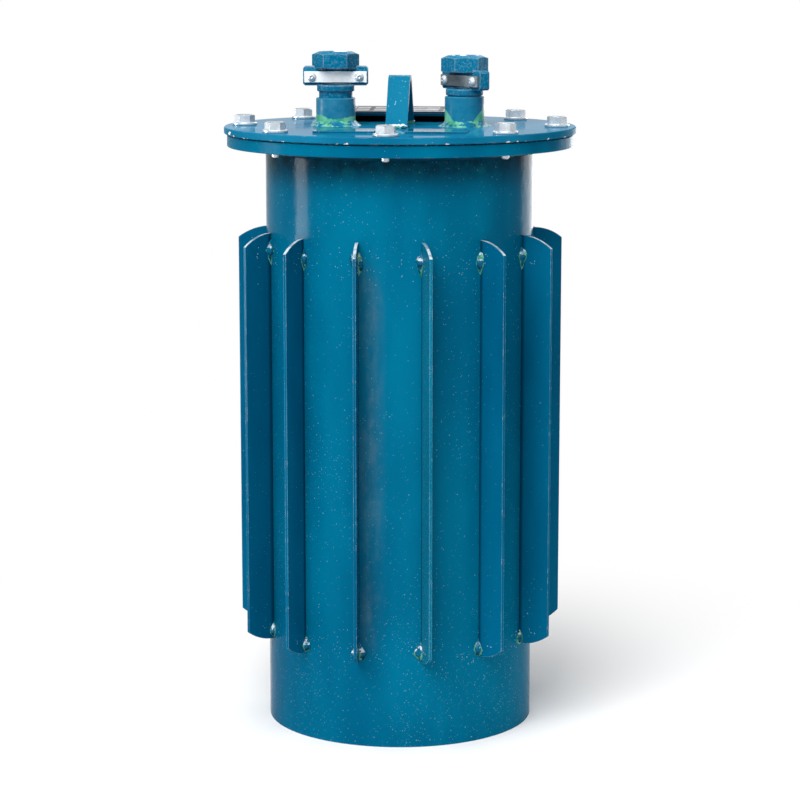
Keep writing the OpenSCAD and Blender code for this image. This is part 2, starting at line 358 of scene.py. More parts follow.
speckLook = {
    "byHeight": (0.05, 0.5, 1.4, 0.5),  # between these heights the density falls from 1.4 to 0.5 times
    "sorts": [
        # cells to the metre, size within a cell, share of the density, how much a grain covers
        (430.0, 0.32, 1.0, 0.46),
        (190.0, 0.17, 0.22, 0.5),
    ],
}


def speckMask(tree, coords, density):
    # fine and coarse grains of overspray
    dense = times(tree, fade(tree, axes(tree, coords)["Z"], *speckLook["byHeight"]), density)
    masks = []
    for scale, size, share, cover in speckLook["sorts"]:
        kept = times(tree, dense, share)
        grains = useGroup(tree, dustSpecks, coords, Scale=scale, Size=size, Density=kept)
        masks.append(times(tree, grains["Mask"], cover))
    return calc(tree, "MAXIMUM", *masks)


rootLook = {
    "colour": seen(0, 52, 76),
    "clear": (0.5 * mm, 6 * mm),  # from the tank's wall, where the painted shade is full and where it ends
}


def clearOfRoot(tree, coords):
    near, far = rootLook["clear"]
    away = vectors(tree, "LENGTH", scaled(tree, coords, (1.0, 1.0, 0.0)))
    return fade(tree, away, tankRadius + near, tankRadius + far)


# painted highlight on upward faces, patchy
topHighlightLook = {
    "colour": seen(206, 220, 226),
    "patches": ((70.0, 3.0, 0.6), (0.38, 0.58, 0.3, 1.0)),
    "facing": (0.3, 0.6),
}
flakeLook = {
    "colour": seen(232, 214, 206),
    "stretch": (1.0, 1.0, 0.35),
    "grain": (70.0, 3.0, 0.6),
    "limits": (0.48, 0.68),
    "least": -0.6 * mm,  # below the edge, so that most of it keeps its paint
    "edge": 0.2 * mm,
}


def flakeMask(tree, coords, tallest):
    # paint flaked off along the cover's lower edge
    look = flakeLook
    drawn = scaled(tree, coords, look["stretch"])
    reach = clouds(tree, drawn, look["grain"], (*look["limits"], look["least"], tallest))
    above = calc(tree, "SUBTRACT", axes(tree, coords)["Z"], coverLow.z)
    return fade(tree, calc(tree, "SUBTRACT", reach, above), -look["edge"], look["edge"])


mouthLook = {
    "colour": seen(206, 214, 220),
    "depth": 16 * mm,  # down from the right nut's top
    "fadeIn": 1 * mm,
    "edge": 0.6 * mm,
    "patches": ((80.0, 2.0), (0.45, 0.52)),
}


def mouthMask(tree, coords, radius):
    # bare metal in and around a gland nut's mouth
    look = mouthLook
    parts = axes(tree, coords)
    across = calc(tree, "SUBTRACT", calc(tree, "ABSOLUTE", parts["X"]), glandX)
    squares = calc(tree, "ADD", times(tree, across, across), times(tree, parts["Y"], parts["Y"]))
    inside = fade(tree, calc(tree, "SQRT", squares), radius, radius - look["edge"])
    lowest = nutTop - look["depth"]
    high = fade(tree, parts["Z"], lowest, lowest + look["fadeIn"])
    return times(tree, inside, high, clouds(tree, coords, *look["patches"]))


primerLook = {
    # which gland, if any, and the line's heights over the cover at two distances from the middle,
    # in gland radii, and how ragged it is
    "left": {"gland": -1, "sides": (0.3, 0.9), "heights": (7.2 * mm, 11.5 * mm), "rag": 14 * mm},
    "right": {"gland": 1, "sides": (0.3, 1.05), "heights": (3 * mm, 18 * mm), "rag": 4 * mm},
    "handle": {"gland": 0, "sides": (0.3, 0.9), "heights": (2.8 * mm, 2.8 * mm), "rag": 6 * mm},
}


def primerLayer(tree, coords, look):
    line = primerLook[look["primerLine"]]
    parts = axes(tree, vectors(tree, "SUBTRACT", coords, (line["gland"] * glandX, 0.0, topZ)))
    near, far = [side * glandRadius for side in line["sides"]]
    limit = fade(tree, calc(tree, "ABSOLUTE", parts["X"]), near, far, *line["heights"])
    bare = useGroup(tree, primerShow, coords, Height=parts["Z"], Limit=limit, Rag=line["rag"])
    return bare["Mask"], blend(tree, bare["Tint"], look["primer"], look["primerPale"])


# finishes

def newMaterial(name):
    material = bpy.data.materials.new(name)
    material.use_nodes = True
    tree = material.node_tree
    shader = tree.nodes["Principled BSDF"]
    coords = wire(tree, "ShaderNodeTexCoord").outputs["Object"]
    return material, tree, shader, coords


def wornAndSheenEdges(tree, coords, look, amount):
    return useGroup(tree, edgeWearAndSheen, coords, Radius=look["edge"], Amount=amount, Scale=look["chipScale"])


def glossOf(tree, value, look):
    return spread(tree, value, [look["roughness"] * share for share in look["glossRange"]])


enamelLook = {
    "deep": seen(0, 88, 121), "pale": seen(0, 107, 140),
    "speck": seen(134, 178, 192),
    "chip": seen(208, 196, 188), "rubAndSheen": seen(96, 158, 182),
    "primer": seen(48, 160, 122), "primerPale": seen(120, 196, 164),
    "primerLine": "",  # which line of primerLook the primer shows below
    "roughness": 0.2,
    "specular": 0.012,
    "density": 0.3,  # share of the cells that hold a speck
    "wearAndSheen": 0.5,
    "edge": 0.9 * mm,  # how far in from an edge the wear and the painted edge highlight reach
    "chipScale": 120.0,
    "mottle": 0.0,  # how much the fine mottling pales the paint
    "glintsAndDust": 0.0,  # how pale the scattered spots are: painted glints on the rough casting, dust on the dusty fin
    "glintAndDustSpots": ((460.0, 4.0, 0.65), (0.48, 0.68)),
    "peel": 0.12 * mm,  # depth of the orange peel
    "grainHeight": 1.6,  # height of a speck against the peel
    "scratch": 0.0,
    "flangeShade": 0.0,  # how dark the painted shade under the flange is
    "topHighlight": 0.0,  # how pale the painted highlight on the upward faces is
    "haze": 0.0,  # how grey the bands of dry overspray are
    "rootShade": 0.0,  # how dark the painted shade in a fin's corner with the tank is
    "lowChips": 0.0,  # height of the flakes along the cover's lower edge
    "bareMouth": 0.0,  # radius within which the top of a gland nut is bare metal
    "glossRange": (0.8, 1.25),
    "topGloss": 0.0,  # roughness of upward faces, where it differs
    "topFacing": (0.4, 0.6),
}


def makeEnamel(name, changes):
    look = {**enamelLook, **changes}
    material, tree, shader, coords = newMaterial(name)
    tone = useGroup(tree, paintTone, coords)
    mottle = tone["Mottle"]
    grains = speckMask(tree, coords, look["density"])
    layers = []  # masks and colours, from the lowest to the uppermost
    if look["mottle"]:
        layers.append((times(tree, mottle, look["mottle"]), look["rubAndSheen"]))
    # scattered pale spots: painted glints on castings, dust on a fin
    if look["glintsAndDust"]:
        high = times(tree, clouds(tree, coords, *look["glintAndDustSpots"]), look["glintsAndDust"])
        layers.append((high, look["rubAndSheen"]))
    if look["haze"]:
        dry = times(tree, hazeMask(tree, coords, mottle), look["haze"])
        layers.append((dry, hazeLook["colour"]))
    # painted shade under the flange
    if look["flangeShade"]:
        layers.append(flangeShadeLayer(tree, coords, mottle, look["flangeShade"]))
    layers.append((grains, look["speck"]))
    amount = look["wearAndSheen"]
    # painted shade in the corners where fins meet the tank; the edge wear stays out of them
    if look["rootShade"]:
        clear = clearOfRoot(tree, coords)
        amount = times(tree, clear, look["wearAndSheen"])
        layers.append((spread(tree, clear, (look["rootShade"], 0.0)), rootLook["colour"]))
    # pale outside edges: wear, and partly a painted highlight
    wearAndSheen = wornAndSheenEdges(tree, coords, look, amount)
    layers += [(wearAndSheen["RubAndSheen"], look["rubAndSheen"]), (wearAndSheen["Chip"], look["chip"])]
    # painted highlight on upward faces
    if look["topHighlight"]:
        upper = upperFaces(tree, topHighlightLook["facing"], look["topHighlight"])
        topLit = times(tree, clouds(tree, coords, *topHighlightLook["patches"]), upper)
        layers.append((topLit, topHighlightLook["colour"]))
    if look["lowChips"]:
        layers.append((flakeMask(tree, coords, look["lowChips"]), flakeLook["colour"]))
    if look["bareMouth"]:
        layers.append((mouthMask(tree, coords, look["bareMouth"]), mouthLook["colour"]))
    if look["scratch"]:
        lines = useGroup(tree, scuffs, coords, Density=look["scratch"])
        layers.append((lines["Mask"], look["speck"]))
    if look["primerLine"]:
        layers.append(primerLayer(tree, coords, look))
    colour = blend(tree, tone["Patch"], look["deep"], look["pale"])
    for mask, over in layers:
        colour = blend(tree, mask, colour, over)
    gloss = glossOf(tree, mottle, look)
    if look["topGloss"]:
        upper = upperFaces(tree, look["topFacing"])
        gloss = wire(tree, "ShaderNodeMix", {0: upper, 2: gloss, 3: look["topGloss"]}).outputs[0]
    relief = calc(tree, "ADD", mottle, times(tree, grains, look["grainHeight"]))
    inputs = {"Strength": 1.0, "Distance": look["peel"], "Height": relief, "Normal": wearAndSheen["Normal"]}
    bump = wire(tree, "ShaderNodeBump", inputs).outputs[0]
    plug(tree, shader, {"Base Color": colour, "Roughness": gloss, "Specular IOR Level": look["specular"],
                        "Normal": bump})
    return material


zincLook = {
    "dull": seen(178, 187, 194), "bright": seen(210, 217, 223),
    "topShadeColour": seen(92, 100, 104),
    "topShade": 0.0,  # how much painted shade the upward faces have
    "topFacing": (0.7, 0.9),
    "spangle": ((150.0, 3.0, 0.5), (0.25, 0.75)),
    "roughness": 0.26,
    "glossRange": (1.3, 0.8),
    "metallic": 0.45,
    "edge": 0.5 * mm,
    "wearAndSheen": 0.5,
    "chipScale": 200.0,
}


def makeZinc(name, changes):
    look = {**zincLook, **changes}
    material, tree, shader, coords = newMaterial(name)
    spangle = clouds(tree, coords, *look["spangle"])
    wearAndSheen = wornAndSheenEdges(tree, coords, look, look["wearAndSheen"])
    colour = blend(tree, spangle, look["dull"], look["bright"])
    # painted shade on upward faces
    if look["topShade"]:
        upper = upperFaces(tree, look["topFacing"], look["topShade"])
        colour = blend(tree, upper, colour, look["topShadeColour"])
    # bright edges: wear, and partly a painted highlight
    colour = blend(tree, wearAndSheen["RubAndSheen"], colour, look["bright"])
    plug(tree, shader, {"Base Color": colour, "Metallic": look["metallic"],
                        "Roughness": glossOf(tree, spangle, look), "Normal": wearAndSheen["Normal"]})
    return material


rubberLook = {
    "dark": seen(22, 22, 22), "pale": seen(44, 44, 43),
    "clouds": ((140.0, 3.0), (0.3, 0.7)),
    "roughness": 0.7,
}


def makeRubber():
    look = rubberLook
    material, tree, shader, coords = newMaterial("blackRubber")
    colour = blend(tree, clouds(tree, coords, *look["clouds"]), look["dark"], look["pale"])
    plug(tree, shader, {"Base Color": colour, "Roughness": look["roughness"]})
    return material


printLook = {
    "dark": seen(24, 26, 32), "pale": seen(48, 50, 58),
    "ink": seen(196, 198, 204),
    "border": (1.8 * mm, 2.2 * mm, 3.2 * mm, 3.6 * mm),  # from the plate's edge: start, full, full, end
    "fieldsFrom": (5 * mm, 5.5 * mm),
    "column": 36.5 * mm, "row": 16.5 * mm,
    "fieldWidth": (0.06, 0.08, 0.92, 0.94),  # the same four within a column and within a row
    "fieldDepth": (0.3, 0.34, 0.82, 0.86),
    "clouds": ((120.0, 4.0, 0.6), (0.3, 0.7)),
    "inkWear": (0.55, 1.0),
    "gloss": (0.28, 0.42),
    "specular": 0.04,
}


def stripe(tree, value, start, full, until, end):
    return times(tree, fade(tree, value, start, full), fade(tree, value, end, until))


def makePlateMetal():
    # dark printed plate with a pale border and blank fields
    look = printLook
    material, tree, shader, coords = newMaterial("printedPlate")
    low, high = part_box("nameplate")
    middle = ((low.x + high.x) / 2, (low.y + high.y) / 2, 0.0)
    parts = axes(tree, vectors(tree, "SUBTRACT", coords, middle))
    acrossEdge = calc(tree, "SUBTRACT", (high.x - low.x) / 2, calc(tree, "ABSOLUTE", parts["X"]))
    depthEdge = calc(tree, "SUBTRACT", (high.y - low.y) / 2, calc(tree, "ABSOLUTE", parts["Y"]))
    inset = calc(tree, "MINIMUM", acrossEdge, depthEdge)
    across = calc(tree, "FRACT", calc(tree, "DIVIDE", parts["X"], look["column"]))
    along = calc(tree, "FRACT", calc(tree, "DIVIDE", parts["Y"], look["row"]))
    field = times(tree, stripe(tree, across, *look["fieldWidth"]), stripe(tree, along, *look["fieldDepth"]))
    field = times(tree, field, fade(tree, inset, *look["fieldsFrom"]))
    printed = calc(tree, "MAXIMUM", stripe(tree, inset, *look["border"]), field)
    cloud = clouds(tree, coords, *look["clouds"])
    worn = times(tree, printed, spread(tree, cloud, look["inkWear"]))
    ground = blend(tree, cloud, look["dark"], look["pale"])
    plug(tree, shader, {"Base Color": blend(tree, worn, ground, look["ink"]),
                        "Roughness": spread(tree, cloud, look["gloss"]),
                        "Specular IOR Level": look["specular"]})
    return material


weldLook = {
    "deep": seen(0, 78, 110), "pale": seen(8, 106, 140),
    "under": seen(0, 48, 68),  # painted shade on faces that look down
    "underFrom": (-0.2, -0.6),
    "crestHighlight": seen(206, 220, 226),  # painted highlight on faces that look up
    "highlightFrom": 0.42,  # how far up a face has to look to get the painted highlight
    "highlightFade": 0.15,
    "tipClear": (0.7, 0.5),  # a weld's upper tip gets no painted highlight
    "green": seen(30, 122, 94), "greenPale": seen(118, 184, 156),
    "greenFrom": 1.2, "greenFade": 0.12,
    "grain": 0.8, "grainNoise": (420.0, 2.0),
    "toeRag": 1.4, "toeNoise": (320.0, 3.0),
    "roughness": 0.16, "specular": 0.07,
}


def makeWeldEnamel(name, changes):
    # enamel over weld metal, thin at the toe, where primer shows, with painted shade below and a painted
    # highlight on top
    look = {**weldLook, **changes}
    material, tree, shader, coords = newMaterial(name)
    mottle = useGroup(tree, paintTone, coords)["Mottle"]
    colour = blend(tree, mottle, look["deep"], look["pale"])
    grain = calc(tree, "SUBTRACT", fractal(tree, coords, *look["grainNoise"]), 0.5)
    rough = calc(tree, "ADD", upwards(tree, "Normal"), times(tree, grain, look["grain"]))
    # painted shade on faces that look down
    colour = blend(tree, fade(tree, rough, *look["underFrom"]), colour, look["under"])
    rag = times(tree, fractal(tree, coords, *look["toeNoise"]), look["toeRag"])
    ragged = calc(tree, "ADD", attribute(tree, "toe"), rag)
    green = blend(tree, mottle, look["green"], look["greenPale"])
    bare = fade(tree, ragged, look["greenFrom"], look["greenFrom"] + look["greenFade"])
    colour = blend(tree, bare, colour, green)
    # painted highlight on faces that look up, away from the tip
    crestLit = fade(tree, rough, look["highlightFrom"], look["highlightFrom"] + look["highlightFade"])
    clear = fade(tree, calc(tree, "ADD", attribute(tree, "tip"), grain), *look["tipClear"])
    colour = blend(tree, times(tree, crestLit, clear), colour, look["crestHighlight"])
    plug(tree, shader, {"Base Color": colour, "Roughness": look["roughness"],
                        "Specular IOR Level": look["specular"]})
    return material


finLook = {
    "deep": seen(0, 84, 119), "pale": seen(2, 98, 134), "rubAndSheen": seen(132, 184, 204),
    "wearAndSheen": 0.66, "edge": 1.1 * mm, "density": 0.16, "topHighlight": 0.9, "rootShade": 0.8,
}
enamels = {
    "tankEnamel": {"density": 0.62, "flangeShade": 0.92, "haze": 0.32, "roughness": 0.13},
    "finEnamel": finLook,
    "dustyFinEnamel": {**finLook, "deep": seen(0, 98, 126), "pale": seen(4, 110, 140),
                       "glintsAndDust": 0.1, "density": 0.5},
    "flangeEnamel": {"density": 0.12, "wearAndSheen": 0.3, "specular": 0.004},
    "coverEnamel": {"deep": seen(8, 96, 130), "pale": seen(20, 114, 150), "topGloss": 0.05,
                    "density": 0.1, "peel": 0.03 * mm, "specular": 0.001, "lowChips": 3.2 * mm},
    "plateEnamel": {"roughness": 0.08, "density": 0.1, "wearAndSheen": 0.9, "peel": 0.05 * mm, "specular": 0.02},
    "castEnamel": {"deep": seen(0, 96, 130), "pale": seen(4, 110, 146), "rubAndSheen": seen(176, 206, 218),
                   "wearAndSheen": 0.9, "edge": 2 * mm, "glintsAndDust": 0.16, "peel": 0.4 * mm, "density": 0.6,
                   "roughness": 0.24, "specular": 0.008, "bareMouth": 15.5 * mm},
    "handleEnamel": {"deep": seen(2, 98, 130), "pale": seen(14, 112, 144), "scratch": 0.35,
                     "density": 0.4, "primerLine": "handle"},
    # painted shade: the bracket in a darker copy of the enamel
    "bracketShadeEnamel": {"deep": seen(0, 50, 74), "pale": seen(4, 68, 94)},
    "leftGlandEnamel": {"deep": seen(8, 102, 136), "pale": seen(26, 124, 158), "mottle": 0.2,
                        "specular": 0.05, "roughness": 0.3, "primerLine": "left"},
    "rightGlandEnamel": {"deep": seen(4, 98, 132), "pale": seen(18, 116, 150), "mottle": 0.12,
                         "specular": 0.05, "roughness": 0.3, "primerLine": "right"},
    "spatterEnamel": {"deep": seen(20, 116, 148), "pale": seen(118, 170, 188), "wearAndSheen": 0.0, "density": 0.0},
}
weldEnamels = {
    "weldEnamel": {},
    "ringWeld": {"highlightFrom": 1.02, "grain": 1.4, "greenFrom": 1.05, "pale": seen(24, 120, 152)},
    # painted shade: the bead under the flange in darker colours, its highlight too
    "shadedWeld": {"deep": seen(0, 34, 46), "pale": seen(6, 52, 66), "green": seen(10, 58, 38),
                   "greenPale": seen(22, 78, 56), "crestHighlight": seen(20, 60, 70)},
}
zincs = {
    "boltZinc": {"topShade": 0.8},
    "washerZinc": {},
    "strapZinc": {"dull": seen(238, 242, 245), "bright": seen(250, 252, 253), "metallic": 0.08,
                  "roughness": 0.45},
    "screwZinc": {"dull": seen(182, 191, 198), "bright": seen(216, 223, 228), "metallic": 0.3,
                  "roughness": 0.35},
    "greyZinc": {"dull": seen(86, 97, 103), "bright": seen(102, 113, 119), "metallic": 0.3,
                 "roughness": 0.4},
}
materials = {"blackRubber": makeRubber(), "printedPlate": makePlateMetal()}
for make, looks in ((makeEnamel, enamels), (makeWeldEnamel, weldEnamels), (makeZinc, zincs)):
    for name, changes in looks.items():
        materials[name] = make(name, changes)

# by a node's own name or its name without the side; the other fins have finEnamel
finishes = {
    "tank_shell": "tankEnamel",
    "base_plate": "tankEnamel",
    "tank_flange": "flangeEnamel",
    "cover_plate": "coverEnamel",
    "flange_weld": "weldEnamel",
    "fin_01": "dustyFinEnamel",
    "gland_weld": "weldEnamel",
    "gland_body_left": "leftGlandEnamel",
    "gland_body_right": "rightGlandEnamel",
    "sealing_ring": "blackRubber",
    "blanking_disc": "greyZinc",
    "gland_nut": "castEnamel",
    "clamp_strap_left": "strapZinc",
    "clamp_strap_right": "greyZinc",
    "lifting_handle": "handleEnamel",
    "nameplate_bracket": "bracketShadeEnamel",
    "nameplate": "printedPlate",
    "label_plate": "plateEnamel",
}
for nodeName, node in nodes.items():
    common = nodeName.removesuffix("_left").removesuffix("_right")
    finish = finishes.get(nodeName) or finishes.get(common, "finEnamel")
    node.data.materials.clear()
    node.data.materials.append(materials[finish])
print("finishes on", len(nodes), "nodes")


# new pieces

weldDist = 1e-6  # points nearer than this become one
noiseRange = (0, 50)  # each lump's place in the noise is drawn from this


def addObject(name, data):
    thing = bpy.data.objects.new(name, data)
    bpy.context.scene.collection.objects.link(thing)
    return thing


def meshFrom(bm, name):
    mesh = bpy.data.meshes.new(name)
    bm.to_mesh(mesh)
    bm.free()
    return mesh


def addPiece(bm, name, finish, sharp=180):
    # edges that turn by more than sharp degrees stay hard
    bmesh.ops.remove_doubles(bm, verts=bm.verts, dist=weldDist)
    bmesh.ops.recalc_face_normals(bm, faces=bm.faces)
    mesh = meshFrom(bm, name)
    mesh.shade_smooth()
    mesh.set_sharp_from_angle(angle=math.radians(sharp))
    mesh.materials.append(materials[finish])
    piece = addObject(name, mesh)
    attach(piece, "root")
    return piece


def turnProfile(bm, points, steps, matrix):
    # spins a closed or pole-to-pole outline of (radius, height) points, then moves what is new
    verts = [bm.verts.new((radius, 0.0, height)) for radius, height in points]
    edges = [bm.edges.new(pair) for pair in zip(verts, verts[1:])]
    bmesh.ops.spin(bm, geom=verts + edges, cent=(0, 0, 0), axis=(0, 0, 1), angle=math.tau, steps=steps,
                   use_merge=True)
    ring = {vert for face in bm.faces for vert in face.verts if not face.tag}
    for face in bm.faces:
        face.tag = True
    bmesh.ops.transform(bm, matrix=matrix, verts=list(ring))


def addBall(bm, segments, radius, place=(0.0, 0.0, 0.0)):
    around, upright = segments
    made = bmesh.ops.create_uvsphere(bm, u_segments=around, v_segments=upright, radius=radius,
                                     matrix=Matrix.Translation(place))
    return made["verts"]


boltLook = {
    "acrossFlats": 18 * mm,
    "headHeight": 8 * mm,
    "headSteps": 48,
    "faceShare": 0.475,  # radius of the round top face, against the width across flats
    "chamfer": 30,  # degrees
    "washerHole": 6.5 * mm, "washerRadius": 12.5 * mm, "washerHeight": 2.5 * mm, "washerEdge": 0.4 * mm,
    "washerSteps": 40,
    "shankRadius": 5.9 * mm, "shankSteps": 24,
    "pointRadius": 3.7 * mm, "pointShows": 4.5 * mm,
    "bevel": 1 * mm,
    "sharp": 25, "washerSharp": 30,  # degrees
    "turns": [30, 58, 46, 0, 12, 37, 8, 5],  # how each head is turned, in degrees
}


def only(kind, made):
    return [item for item in made["geom"] if isinstance(item, kind)]


def hexHead(bm, look, matrix):
    # hexagon turned off by a cone, which leaves arcs on its flats
    low = look["washerHeight"]
    height = look["headHeight"]
    faceRadius = look["acrossFlats"] * look["faceShare"]
    rim = bmesh.ops.create_circle(bm, segments=look["headSteps"], radius=1.0, cap_ends=True)["verts"]
    for vert in rim:
        around = math.atan2(vert.co.y, vert.co.x) % (math.pi / 3) - math.pi / 6
        reach = look["acrossFlats"] / 2 / math.cos(around)
        vert.co = Vector((vert.co.x * reach, vert.co.y * reach, low))
    base = rim[0].link_faces[0]
    wall = bmesh.ops.extrude_face_region(bm, geom=[base])
    upper = only(bmesh.types.BMVert, wall)
    for vert in upper:
        reach = vert.co.xy.length
        vert.co.z = low + height - (reach - faceRadius) * math.tan(math.radians(look["chamfer"]))
    cap = only(bmesh.types.BMFace, wall)
    inner = only(bmesh.types.BMVert, bmesh.ops.extrude_face_region(bm, geom=cap))
    for vert in inner:
        vert.co.xy = vert.co.xy.normalized() * faceRadius
        vert.co.z = low + height
    bmesh.ops.delete(bm, geom=cap, context="FACES_ONLY")
    bmesh.ops.transform(bm, matrix=matrix, verts=rim + upper + inner)
    for face in bm.faces:
        face.tag = True


def shankOutline(look):
    # from inside the head down through the cover and flange to the thinner end below
    shank, point, bevel = look["shankRadius"], look["pointRadius"], look["bevel"]
    inHead = look["washerHeight"] + bevel
    neck = flangeLow.z - topZ
    drop = topZ - flangeLow.z + look["pointShows"]
    return [(0, inHead), (shank, inHead), (shank, neck + bevel), (point, neck),
            (point, -drop + bevel), (point - bevel, -drop), (0, -drop)]


def washerOutline(look):
    hole, rim = look["washerHole"], look["washerRadius"]
    thick, edge = look["washerHeight"], look["washerEdge"]
    return [(hole, 0), (rim - edge, 0), (rim, edge), (rim, thick - edge), (rim - edge, thick),
            (hole, thick), (hole, 0)]


def addBolts():
    look = boltLook
    dims = mounts["cover_bolts"]["dims"]
    circle = dims["pcd_mm"] * mm / 2
    bolts = bmesh.new()
    washers = bmesh.new()
    for index in range(dims["count"]):
        angle = math.tau * index / dims["count"] - math.pi / 2
        place = Matrix.Translation((circle * math.cos(angle), circle * math.sin(angle), topZ))
        turned = place @ Matrix.Rotation(math.radians(look["turns"][index]), 4, "Z")
        hexHead(bolts, look, turned)
        turnProfile(bolts, shankOutline(look), look["shankSteps"], turned)
        turnProfile(washers, washerOutline(look), look["washerSteps"], turned)
    addPiece(bolts, "cover_bolts", "boltZinc", look["sharp"])
    addPiece(washers, "bolt_washers", "washerZinc", look["washerSharp"])


addBolts()
print("bolts and washers added")


screwLook = {
    "headRadius": 4.7 * mm, "headHeight": 3.4 * mm, "headRim": 0.4 * mm,
    "domeSteps": (0, 18, 36, 54, 70),  # degrees
    "socketRadius": 1.9 * mm, "socketDepth": 2.0 * mm, "socketEdge": 0.35 * mm,
    "shankRadius": 2.4 * mm, "shankLength": 9 * mm,
    "span": 48 * mm,
    "strapHalf": 1.5 * mm,  # from a strap's middle to its face
    "strapEnds": 30 * mm,  # a strap's points farther out than this are its ends
    "turnSteps": 20, "sharp": 50,
}


def strapAxes(nodeName):
    # a strap's middle, its long direction and the way its face looks, from its own corners
    corners = [vert.co for vert in nodes[nodeName].data.vertices]
    low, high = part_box(nodeName)
    middle = (low + high) / 2
    far = max(corners, key=lambda corner: (corner.xy - middle.xy).length)
    outer = [corner for corner in corners if (corner.xy - middle.xy).length > screwLook["strapEnds"]]
    ends = [corner for corner in outer if (corner - middle).xy.dot((far - middle).xy) > 0]
    endMiddle = sum(ends, Vector()) / len(ends)
    along = (endMiddle - middle).xy.normalized()
    face = Vector((along.y, -along.x))
    if face.y > 0:
        face = -face
    return middle, along, face


def screwOutline(look):
    radius, height = look["headRadius"], look["headHeight"]
    shank, length = look["shankRadius"], look["shankLength"]
    outline = [(0, -length), (shank, -length), (shank, 0), (radius, 0)]
    for degrees in look["domeSteps"]:
        step = math.radians(degrees)
        outline.append((radius * math.cos(step), height * math.sin(step) + look["headRim"]))
    outline.append((look["socketRadius"], height + look["socketEdge"]))
    outline.append((0, height - look["socketDepth"]))
    return outline


def addStrapScrews():
    look = screwLook
    screws = bmesh.new()
    for side in ("left", "right"):
        middle, along, face = strapAxes("clamp_strap_" + side)
        facing = face.to_3d().to_track_quat("Z", "Y").to_matrix().to_4x4()
        for end in (-0.5, 0.5):
            spot = middle.xy + along * look["span"] * end + face * look["strapHalf"]
            turned = Matrix.Translation((spot.x, spot.y, middle.z)) @ facing
            turnProfile(screws, screwOutline(look), look["turnSteps"], turned)
    addPiece(screws, "strap_screws", "screwZinc", look["sharp"])


addStrapScrews()
print("strap screws added")


# welds; toe and tip are values that their finish reads at each point

def weldLayer(bm, name):
    return bm.verts.layers.float.get(name) or bm.verts.layers.float.new(name)


tackLook = {
    "leg": 6.6 * mm,  # reach along the tank and along the fin
    # half height, where a weld is widest from -1 at the foot to 1 at the tip, how round it is below,
    # and how far in from the edge the paint is thin
    "upper": {"length": 11 * mm, "belly": 0.2, "foot": 0.85, "toe": 3.1 * mm},
    "lower": {"length": 7.8 * mm, "belly": -0.25, "foot": 0.5, "toe": 4.2 * mm},
    "taper": 0.8,  # how fast it narrows to its tip
    "lumps": (0.34, 0.17), "lumpScales": (1.9, 4.2),  # coarse and fine
    "stretch": 0.12,  # how much longer the lumps make it
    "thin": (0.75, 0.3),  # how thin the paint is at half height, and how much less at the tip
    "sizes": (0.85, 1.15),
    "wander": 2.5,  # up or down, in mm
    "belowTop": 21 * mm,
    "aboveBottom": 9 * mm,
    "segments": (20, 14),
    "grains": 13,  # balls of spatter beside each weld
    "grainRadius": (0.3 * mm, 0.8 * mm),
    "grainAside": (5, 22),  # on the tank, in mm
    "grainOut": (7, 21),  # on the fin, in mm
    "grainRise": (-2, 10),  # mean and spread, in mm
    "onFin": 0.35,  # share of the balls that lie on the fin
    "finEnd": 13 * mm,  # rounded ends, which stay clear
    "seed": 11,
}


def tackBlob(bm, corner, along, out, size, shift, form):
    # a pointed, lumpy drop that fills the corner between the tank and a fin
    look = tackLook
    toe = weldLayer(bm, "toe")
    tip = weldLayer(bm, "tip")
    large, small = look["lumps"]
    coarse, fine = look["lumpScales"]
    most, less = look["thin"]
    for vert in addBall(bm, look["segments"], 1.0):
        level = vert.co.z
        ring = max(vert.co.xy.length, weldDist)
        if level > form["belly"]:
            girth = ((1.0 - level) / (1.0 - form["belly"])) ** look["taper"]
        else:
            girth = (max(0.0, 1.0 + level) / (1.0 + form["belly"])) ** form["foot"]
        swell = 1.0 + large * noise.noise(vert.co * coarse + shift)
        swell += small * noise.noise(vert.co * fine + shift)
        u = vert.co.x / ring * girth * swell * look["leg"] * size
        v = vert.co.y / ring * girth * swell * look["leg"] * size
        w = level * form["length"] * size * (1 + look["stretch"] * swell)
        thin = max(0.0, 1.0 - max(0.0, min(u, v)) / form["toe"])
        vert[toe] = thin * (most - less * level)
        vert[tip] = level
        flat = corner.xy + along * u + out * v
        vert.co = Vector((flat.x, flat.y, corner.z + w))


def onTank(angle, height):
    return Vector((tankRadius * math.cos(angle), tankRadius * math.sin(angle), height))


